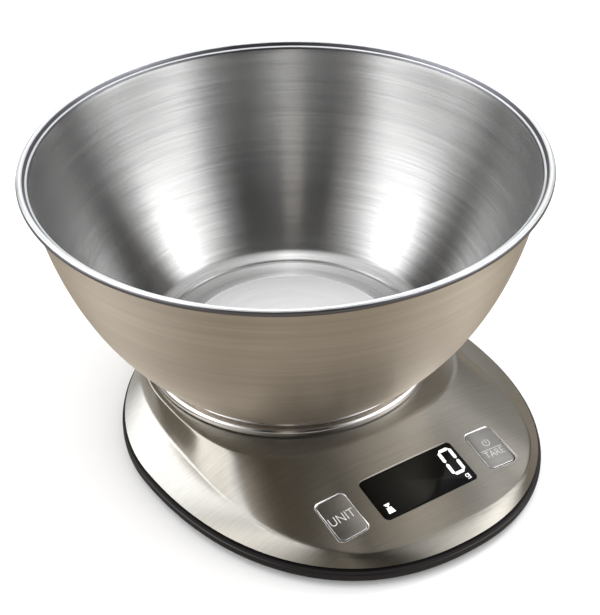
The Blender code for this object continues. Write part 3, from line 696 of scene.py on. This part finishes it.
def makeCover():
    crease, crest = creaseRing(), crestRing(0.0, outline["crestZ"])
    seatEdge, bossBase = crestRing(1.5, seatHeight / mm), circleRing(62.0, seatHeight / mm)
    bossTop = circleRing(outline["bossRadius"], seatHeight / mm + outline["bossRise"])
    rings = [skirtRing(t) for t in (0.0, 0.03, 0.1, 0.2, 0.3, 0.4, 0.5, 0.6, 0.7, 0.8, 0.87)]
    rings += softCorner(skirtRing(0.93), crease, flankRing(0.05), 1.3, 6)
    rings += [flankRing(t) for t in (0.07, 0.12, 0.18, 0.25, 0.32, 0.4, 0.48, 0.56, 0.64, 0.72, 0.8,
                                     0.86, 0.91)]
    rings += softCorner(flankRing(0.95), crest, seatEdge, 0.5, 4)
    rings += softCorner(crest, seatEdge, bossBase, 0.4, 3)
    rings += softCorner(seatEdge, bossBase, bossTop, 0.3, 3)
    rings += softCorner(bossBase, bossTop, bossTop * np.array([0.9, 0.9, 1.0]), 0.4, 4)
    rings += [bossTop * np.array([k, k, 1.0]) for k in (0.97, 0.8, 0.6, 0.4, 0.2, 0.05)]
    obj = meshObject("topCover", loftMesh("topCover", rings))
    solid = obj.modifiers.new("sheet", "SOLIDIFY")
    solid.thickness = outline["sheet"] * mm
    solid.offset = -1
    obj = plainCopy(obj, "topCover")
    level = windowPlace @ Matrix.Translation((0, 0, panel["glassDrop"] * mm))
    holes = [flaredCutter(panel["window"], panel["windowCorner"], 0.1, level, "windowHole")]
    corner = panel["keyCorner"] + panel["slot"]
    for side, place in keyPlaces.items():
        hole = [length + 2 * panel["slot"] for length in panel["key"]]
        level = place @ Matrix.Translation((0, 0, -panel["keyRise"] * mm))
        holes.append(flaredCutter(hole, corner, panel["chamfer"], level, side + "Hole"))
    obj = cut(obj, holes)
    finishMesh(obj, 24)
    grainMap(obj)
    obj.data.materials.clear()
    obj.data.materials.append(finishes["coverGrain"])
    obj.data.materials.append(finishes["edgePolish"])
    paintEdgeHighlights(obj, [(place, panel["key"]) for place in keyPlaces.values()])
    settle(obj, "base", "cover_steel", "top_cover")


makeCover()
print("cover made")


tray = {"floor": 3.0, "wall": 2.0,
        "side": ((0.55, 8.8), (0.5, 7.3), (0.06, 6.9), (0, 6.2), (0, 4.8), (0.1, 4.2), (0.35, 3.8),
                 (0.7, 3.55), (1.5, 3.15), (2.6, 3.0)),
        "screws": ((-25, -124), (25, -124), (-54, -24), (54, -24), (-28, 50), (28, 50)),
        "feet": {"front_left": (-62, -84), "front_right": (62, -84), "back_left": (-50, 32),
                 "back_right": (50, 32)},
        "bayY": -2.0, "bay": (53.0, 25.0)}


def cylinder(x, y, radius, low, high, name, sides=40):
    bm = bmesh.new()
    place = Matrix.Translation(Vector((x, y, (low + high) / 2)) * mm + axis)
    bmesh.ops.create_cone(bm, cap_ends=True, segments=sides, radius1=radius * mm, radius2=radius * mm,
                          depth=(high - low) * mm, matrix=place)
    return meshObject(name, meshOf(name, bm))


def makeTray():
    rings = [trayRing(inset, z) for inset, z in tray["side"]]
    obj = meshObject("lowerTray", loftMesh("lowerTray", rings))
    obj.data.flip_normals()
    solid = obj.modifiers.new("wall", "SOLIDIFY")
    solid.thickness = tray["wall"] * mm
    obj = plainCopy(obj, "lowerTray")
    finishMesh(obj)
    cutters = [cylinder(x, y, 10.4, 0, 7, "well") for x, y in tray["feet"].values()]
    cutters += [cylinder(x, y, 3.6, 0, 4.5, "sink", 28) for x, y in tray["screws"]]
    cutters += [cylinder(x, y, 1.8, 0, 12, "screwHole", 20) for x, y in tray["screws"]]
    door = boxMesh((tray["bay"][0] * mm, tray["bay"][1] * mm, 6 * mm), 2 * mm)
    door.transform(Matrix.Translation(axis + Vector((0, tray["bayY"], tray["floor"])) * mm))
    cutters.append(meshObject("doorHole", door))
    obj = cut(obj, cutters)
    finishMesh(obj, 32)
    obj.data.materials.clear()
    obj.data.materials.append(finishes["trayBlack"])
    settle(obj, "base", "black_plastic", "lower_housing")


makeTray()
print("tray made")


def placed(obj, place):
    obj.data.transform(place)
    return obj


def polygonMesh(name, outlines, thick):
    bm = bmesh.new()
    for points in outlines:
        bottom = [bm.verts.new((x * mm, y * mm, 0)) for x, y in points]
        top = [bm.verts.new((x * mm, y * mm, thick * mm)) for x, y in points]
        bm.faces.new(list(reversed(bottom)))
        bm.faces.new(top)
        for i in range(len(points)):
            j = (i + 1) % len(points)
            bm.faces.new((bottom[i], bottom[j], top[j], top[i]))
    bmesh.ops.recalc_face_normals(bm, faces=bm.faces)
    return meshOf(name, bm)


def lettering(name, text, box, thick, place, finish, weight=0.0):
    # box is the middle, width and height that the letters fill
    curve = bpy.data.curves.new(name, "FONT")
    curve.body = text
    curve.size = box[3] * mm
    curve.offset = weight * mm
    curve.align_x = "CENTER"
    curve.align_y = "CENTER"
    curve.extrude = thick * mm / 2
    curve.resolution_u = 4
    raw = bpy.data.objects.new(name + "Text", curve)
    bpy.context.scene.collection.objects.link(raw)
    bpy.context.view_layer.update()
    obj = plainCopy(raw, name)
    low = Vector([min(v.co[i] for v in obj.data.vertices) for i in range(3)])
    high = Vector([max(v.co[i] for v in obj.data.vertices) for i in range(3)])
    size = high - low
    fit = Matrix.Diagonal((box[2] * mm / size.x, box[3] * mm / size.y, 1, 1))
    obj.data.transform(fit @ Matrix.Translation(-(low + high) / 2))
    obj.data.transform(place @ Matrix.Translation((box[0] * mm, box[1] * mm, 0)))
    obj.data.materials.clear()
    obj.data.materials.append(finishes[finish])
    return finishMesh(obj, 30)


digit = {"center": (19.6, 2.0), "width": 5.7, "height": 13.3, "bar": 1.6, "gap": 0.2, "lean": 0.03,
         "thick": 0.02, "gram": (21.2, -8.1), "gramRing": (1.0, 0.6), "gramSides": 16}


def segmentOutline(start, end, bar, gap):
    run = Vector(end) - Vector(start)
    along = run.normalized()
    side = Vector((-along.y, along.x)) * bar / 2
    a, b = Vector(start) + along * gap, Vector(end) - along * gap
    tip = along * bar / 2
    return [a, a + tip + side, b - tip + side, b, b - tip - side, a + tip - side]


def makeDisplay():
    size = panel["window"]
    sheet = ((size[0] - 0.6) * mm, (size[1] - 0.6) * mm, 1.35 * mm)
    glass = boxMesh(sheet, (panel["windowCorner"] - 0.3) * mm, 0.12 * mm)
    obj = meshObject("displayWindow", glass)
    placed(obj, windowPlace @ Matrix.Translation((0, 0, -0.675 * mm)))
    finishMesh(obj, 40)
    obj.data.materials.append(finishes["windowGloss"])
    settle(obj, "base", "window_gloss", "display_window")
    x, y = digit["center"]
    w, h = digit["width"] / 2, digit["height"] / 2
    corners = {"tl": (-w, h), "tr": (w, h), "ml": (-w, 0), "mr": (w, 0), "bl": (-w, -h), "br": (w, -h)}
    bars = (("tl", "tr"), ("tl", "ml"), ("tr", "mr"), ("ml", "bl"), ("mr", "br"), ("bl", "br"))
    shapes = []
    for start, end in bars:
        shape = segmentOutline(corners[start], corners[end], digit["bar"], digit["gap"])
        shapes.append([(x + p.x + digit["lean"] * p.y, y + p.y) for p in shape])
    zero = meshObject("digitZero", polygonMesh("digitZero", shapes, digit["thick"]))
    placed(zero, windowPlace)
    zero.data.materials.append(finishes["segmentWhite"])
    settle(zero, "base", "lcd_segments")
    x, y = digit["gram"]
    hook = [(0.75, 1.3), (1.1, 1.3), (1.1, -1.2), (0.75, -1.2)]
    shapes = [hook, [(-0.7, -1.55), (1.0, -1.55), (1.1, -1.2), (-0.7, -1.2)]]
    outer, inner = digit["gramRing"]
    for i in range(digit["gramSides"]):
        a, b = (math.tau * k / digit["gramSides"] for k in (i, i + 1))
        bounds = ((outer, a), (outer, b), (inner, b), (inner, a))
        shapes.append([(s * math.cos(t), 0.35 + s * math.sin(t)) for s, t in bounds])
    shapes = [[(x + px, y + py) for px, py in shape] for shape in shapes]
    unit = meshObject("gramSign", polygonMesh("gramSign", shapes, digit["thick"]))
    placed(unit, windowPlace)
    unit.data.materials.append(finishes["segmentWhite"])
    settle(unit, "base", "lcd_segments")
    body = [(-1.75, -2.6), (1.75, -2.6), (1.2, 0.5), (-1.2, 0.5)]
    neck = [(-0.35, 0.75), (0.35, 0.75), (0.35, 1.3), (-0.35, 1.3)]
    pan = [(-0.9, 1.3), (0.9, 1.3), (1.5, 2.5), (-1.5, 2.5)]
    shapes = [[(x - 19.6, y - 5.9) for x, y in shape] for shape in (body, neck, pan)]
    picture = meshObject("weighSign", polygonMesh("weighSign", shapes, digit["thick"]))
    placed(picture, windowPlace)
    picture.data.materials.append(finishes["segmentWhite"])
    settle(picture, "base", "lcd_segments")


key = {"depth": 3.9, "soft": 0.28, "flange": 3.4, "print": 0.02, "unitWord": (-0.1, -0.2, 12.4, 4.4),
       "tareWord": (0.2, -3.3, 10.2, 3.4), "weight": -0.05}


def makeKey(side):
    width, length = panel["key"]
    size = (width * mm, length * mm, key["depth"] * mm)
    cap = boxMesh(size, panel["keyCorner"] * mm, key["soft"] * mm, 8)
    cap.transform(Matrix.Translation((0, 0, -key["depth"] / 2 * mm)))
    flange = boxMesh(((width + key["flange"]) * mm, (length + key["flange"]) * mm, 0.9 * mm), 1 * mm)
    flange.transform(Matrix.Translation((0, 0, -3.9 * mm)))
    obj = meshObject(side + "Cap", cap)
    obj = cut(obj, [meshObject("flange", flange)], "UNION")
    placed(obj, keyPlaces[side])
    finishMesh(obj, 35)
    grainMap(obj)
    obj.data.materials.clear()
    obj.data.materials.append(finishes["keyGrain"])
    obj.data.materials.append(finishes["edgePolish"])
    paintEdgeHighlights(obj, [(keyPlaces[side], panel["key"])])
    return settle(obj, side, "key_steel", side)


def makeKeys():
    for side in keyPlaces:
        makeKey(side)
    face = keyPlaces["unit_key"]
    word = lettering("unitWord", "UNIT", key["unitWord"], key["print"], face, "keyPrint", key["weight"])
    settle(word, "unit_key", "key_print")
    face = keyPlaces["tare_key"]
    word = lettering("tareWord", "TARE", key["tareWord"], key["print"], face, "keyPrint", key["weight"])
    settle(word, "tare_key", "key_print")
    line = [(-5.6, -0.9), (5.9, -0.9), (5.9, -0.65), (-5.6, -0.65)]
    stem = [(-0.14, 2.5), (0.14, 2.5), (0.14, 5.0), (-0.14, 5.0)]
    shapes = [line, stem]
    outer, inner, count = 1.9, 1.62, 22
    for i in range(count):
        a, b = (math.radians(125 + 290 * k / count) for k in (i, i + 1))
        bounds = ((outer, a), (outer, b), (inner, b), (inner, a))
        shapes.append([(r * math.cos(t), 3.0 + r * math.sin(t)) for r, t in bounds])
    sign = meshObject("powerSign", polygonMesh("powerSign", shapes, key["print"]))
    placed(sign, face)
    sign.data.materials.append(finishes["keyPrint"])
    settle(sign, "tare_key", "key_print")


makeDisplay()
makeKeys()
print("display and keys made")


def partBody(node):
    return frame["nodes"][node]["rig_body"]


def makeFeet():
    for place, (x, y) in tray["feet"].items():
        center = axis + Vector((x, y, 0)) * mm
        pad = rounded([(0, 1.6), (7.6, 1.6), (8.0, 1.3), (8.0, 0.4), (7.5, 0), (5.6, 0), (5.3, 0.25),
                       (4.2, 0.25), (3.9, 0), (2.4, 0), (2.1, 0.25), (0, 0.25)], 0.12, 2)
        obj = turned("footPad_" + place, [(r * mm, z * mm) for r, z in pad], "rubber", 48, center)
        settle(obj, partBody("foot_" + place), "foot_rubber", "foot_pad_" + place)
        disc = rounded([(0, 7.3), (2.2, 7.3), (2.2, 5.6), (9.2, 5.6), (9.6, 5.2), (9.6, 2.4), (9.1, 1.9),
                        (0, 1.9)], 0.3, 3)
        obj = turned("footDisc_" + place, [(r * mm, z * mm) for r, z in disc], "trayBlack", 64, center)
        settle(obj, partBody("foot_" + place), "black_plastic", "foot_" + place)


def makeScrews():
    profile = rounded([(0, 12), (0.9, 12), (1.35, 11), (1.35, 6.3), (3.1, 6.3), (3.1, 5.2), (2.6, 4.7),
                       (0, 4.7)], 0.25, 3)
    one = turned("screwPattern", [(r * mm, z * mm) for r, z in profile], "screwZinc", 32)
    slots = [meshObject("slot", boxMesh((w * mm, d * mm, 1.4 * mm))) for w, d in ((3.4, 0.9), (0.9, 3.4))]
    for slot in slots:
        slot.data.transform(Matrix.Translation((0, 0, 4.9 * mm)))
    one = cut(one, slots)
    points = [axis + Vector((x, y, 0)) * mm for x, y in tray["screws"]]
    mesh = bpy.data.meshes.new("screwPlaces")
    mesh.from_pydata(points, [], [])
    values = {"Piece": one, "Finish": finishes["screwZinc"]}
    obj = grow(meshObject("screwPlaces", mesh), trees["copies"], values, "housingScrews")
    bpy.data.objects.remove(one)
    finishMesh(obj, 35)
    settle(obj, "base", "screw_steel", *[n for n in frame["nodes"] if n.startswith("housing_screw")])


def makeDoor():
    low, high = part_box("battery_door")
    size = high - low
    door = boxMesh(tuple(size), 1.7 * mm, 0.0)
    door.transform(Matrix.Translation((low + high) / 2))
    raw = meshObject("doorRaw", door)
    grip = cylinder(0, (high.y - axis.y) / mm - 5, 4, low.z / mm - 1, low.z / mm + 0.6, "grip")
    raw = cut(raw, [grip])
    values = {"Count": 7, "Pitch": (0, 0.0019, 0), "Rib": (0.022, 0.0006, 0.0003),
              "Middle": (0, low.y + 4 * mm, low.z - 0.1 * mm), "Finish": finishes["trayBlack"]}
    obj = grow(raw, trees["ribs"], values, "batteryDoor")
    finishMesh(obj, 30)
    settle(obj, "battery_door", "black_plastic", "battery_door")


makeFeet()
makeScrews()
makeDoor()
print("underside made")


stays = {"upper_housing": "linerBlack", "display_bezel": "linerBlack", "lcd_module": "lcdGlass",
         "backlight": "backlight", "lcd_connector": "connectorWhite", "main_board": "boardGreen",
         "unit_switch": "switchBlack", "tare_switch": "switchBlack", "board_screw": "screwZinc",
         "load_cell_holder": "nylonWhite", "load_cell": "sensorAlloy", "sensor_wire": "wireRed",
         "battery_holder": "trayBlack", "battery_lead": "wireRed", "battery_spring": "nickel",
         "contact_plate": "nickel", "battery_": "cellJacket"}
for name, part in frame["nodes"].items():
    found = next((value for start, value in stays.items() if name.startswith(start)), None)
    if found and not part.hide_render:
        part.data.materials.clear()
        part.data.materials.append(finishes[found])
    elif not part.hide_render:
        print("no finish for", name)


studio = {"floor": 0.88, "floorInSteel": (0.305, 0.272, 0.228), "fill": 1.6, "brightest": 4.8,
          "lampPower": 6.0, "lampSize": 0.4, "lampPlace": (0.9, 0.55, 1.1), "tint": (1.0, 0.90, 0.76),
          "sideTop": 46.0, "blend": 5.0,
          "edgeLamp": {"azimuth": -124, "elevation": 38, "distance": 1.3, "size": 0.7, "power": 9.5,
                       "color": (0.88, 0.93, 1.0)}}
view = {"azimuth": -32.25, "elevation": 35.47, "roll": -1.30, "distance": 0.708, "lens": 88.33,
        "target": (0.0038, 0.00665, 0.0524)}
azimuth = math.radians(view["azimuth"])
viewBack = Vector((math.sin(azimuth), -math.cos(azimuth), 0))
viewRight = Vector((math.cos(azimuth), math.sin(azimuth), 0))

# What the steel mirrors: degrees to the right of the camera's own side, light, and how warm it is
sides = ((-180, 1.1, 0), (-160, 0.4, 0.3), (-128, 0.3, 0.3), (-112, 0.7, 0), (-99, 2.8, 0), (-84, 4.8, 0),
         (-67, 3.3, 0), (-51, 1.7, 0), (-37, 0.6, 0.3), (-25, 0.01, 1), (-11, 0.01, 1), (-8, 0.4, 0.8),
         (0, 0.4, 0.8), (4, 0.01, 1), (29, 0.01, 1), (41, 0.4, 0), (53, 1.6, 0), (68, 2.8, 0),
         (83, 4.8, 0), (97, 2.6, 0), (110, 0.25, 0.3), (140, 0.4, 0.3), (158, 0.6, 0), (180, 1.1, 0))
above = ((-180, 3.4, 0), (-158, 2.6, 0), (-138, 0.3, 0), (-122, 0.8, 0), (-105, 2.0, 0), (-88, 0.9, 0),
         (-70, 0.1, 0.5), (-45, 0.02, 1), (62, 0.02, 1), (80, 0.3, 0.5), (104, 1.0, 0), (130, 0.3, 0),
         (155, 1.8, 0), (180, 3.4, 0))


def makeWorld():
    world = bpy.data.worlds.new("softStudio")
    bpy.context.scene.world = world
    world.use_nodes = True
    tree = world.node_tree
    tree.nodes.clear()
    direction = addNode(tree, "ShaderNodeTexCoord").outputs["Generated"]

    def dot(vector):
        node = addNode(tree, "ShaderNodeVectorMath", operation="DOT_PRODUCT")
        tree.links.new(direction, node.inputs[0])
        node.inputs[1].default_value = vector
        return node.outputs["Value"]

    turn = calc(tree, "ARCTAN2", dot(viewRight), dot(viewBack))
    part = calc(tree, "MULTIPLY_ADD", turn, 1 / math.tau, 0.5)

    def lightRamp(stops):
        ramp = addNode(tree, "ShaderNodeValToRGB")
        elements = ramp.color_ramp.elements
        while len(elements) < len(stops):
            elements.new(0.5)
        for element, (angle, light, warm) in zip(elements, stops):
            element.position = (angle + 180) / 360
        for element, (angle, light, warm) in zip(elements, stops):
            share = light / studio["brightest"]
            element.color = (*(share * (1 - warm * (1 - c)) for c in studio["tint"]), 1)
        tree.links.new(part, ramp.inputs[0])
        return ramp.outputs[0]

    height = calc(tree, "MULTIPLY", calc(tree, "ARCSINE", dot((0, 0, 1))), 180 / math.pi)
    top, blend = studio["sideTop"], studio["blend"]
    higher = spread(tree, height, 0, 1, top - blend, top + blend)
    walls = addNode(tree, "ShaderNodeBackground")
    walls.inputs["Strength"].default_value = studio["brightest"]
    tree.links.new(mixColor(tree, higher, lightRamp(sides), lightRamp(above)), walls.inputs["Color"])
    fill = addNode(tree, "ShaderNodeBackground")
    fill.inputs["Color"].default_value = (1, 1, 1, 1)
    fill.inputs["Strength"].default_value = studio["fill"]
    mix = addNode(tree, "ShaderNodeMixShader")
    rays = addNode(tree, "ShaderNodeLightPath")
    tree.links.new(rays.outputs["Is Glossy Ray"], mix.inputs[0])
    tree.links.new(fill.outputs[0], mix.inputs[1])
    tree.links.new(walls.outputs[0], mix.inputs[2])
    out = addNode(tree, "ShaderNodeOutputWorld")
    tree.links.new(mix.outputs[0], out.inputs["Surface"])


def makeFloor():
    bm = bmesh.new()
    bmesh.ops.create_grid(bm, x_segments=8, y_segments=8, size=6.0)
    floor = meshObject("floor", meshOf("floor", bm))
    material, tree, shader, place = startMaterial("paleFloor")
    rays = addNode(tree, "ShaderNodeLightPath")
    bright, dim = [studio["floor"]] * 3, studio["floorInSteel"]
    color = mixColor(tree, rays.outputs["Is Glossy Ray"], bright, dim)
    tree.links.new(color, shader.inputs["Base Color"])
    shader.inputs["Roughness"].default_value = 0.9
    shader.inputs["Specular IOR Level"].default_value = 0.1
    floor.data.materials.append(material)


def makeLamp():
    lamp = bpy.data.lights.new("softLamp", "AREA")
    lamp.shape = "DISK"
    lamp.size = studio["lampSize"]
    lamp.energy = studio["lampPower"]
    obj = bpy.data.objects.new("softLamp", lamp)
    bpy.context.scene.collection.objects.link(obj)
    right, back, up = studio["lampPlace"]
    obj.location = viewRight * right - viewBack * back + Vector((0, 0, up))
    obj.rotation_euler = (Vector((0, 0, 0.03)) - obj.location).to_track_quat("-Z", "Y").to_euler()
    obj.visible_glossy = False


def makeCamera():
    tilt = math.radians(view["elevation"])
    back = viewBack * math.cos(tilt) + Vector((0, 0, math.sin(tilt)))
    up = back.cross(viewRight)
    roll = math.radians(view["roll"])
    right = viewRight * math.cos(roll) + up * math.sin(roll)
    top = up * math.cos(roll) - viewRight * math.sin(roll)
    camera = bpy.data.cameras.new("camera")
    camera.lens = view["lens"]
    camera.clip_start = 0.01
    obj = bpy.data.objects.new("camera", camera)
    bpy.context.scene.collection.objects.link(obj)
    place = Matrix((right, top, back)).transposed().to_4x4()
    place.translation = Vector(view["target"]) + back * view["distance"]
    obj.matrix_world = place
    bpy.context.scene.camera = obj


def makeEdgeLamp(piece):
    # a second softbox that only the base cover takes, to lift its left edge
    place = studio["edgeLamp"]
    lamp = bpy.data.lights.new("edgeLamp", "AREA")
    lamp.shape = "DISK"
    lamp.size = place["size"]
    lamp.energy = place["power"]
    lamp.color = place["color"]
    obj = bpy.data.objects.new("edgeLamp", lamp)
    bpy.context.scene.collection.objects.link(obj)
    turn, lift = math.radians(place["azimuth"]), math.radians(place["elevation"])
    level = viewRight * math.sin(turn) + viewBack * math.cos(turn)
    obj.location = (level * math.cos(lift) + Vector((0, 0, math.sin(lift)))) * place["distance"]
    obj.rotation_euler = (-obj.location).to_track_quat("-Z", "Y").to_euler()
    only = bpy.data.collections.new("edgeLampPieces")
    only.objects.link(piece)
    obj.light_linking.receiver_collection = only


makeWorld()
makeFloor()
makeLamp()
makeEdgeLamp(bpy.data.objects["topCover"])
makeCamera()
bpy.context.scene.view_settings.view_transform = "Standard"
print("floor, light and camera set")
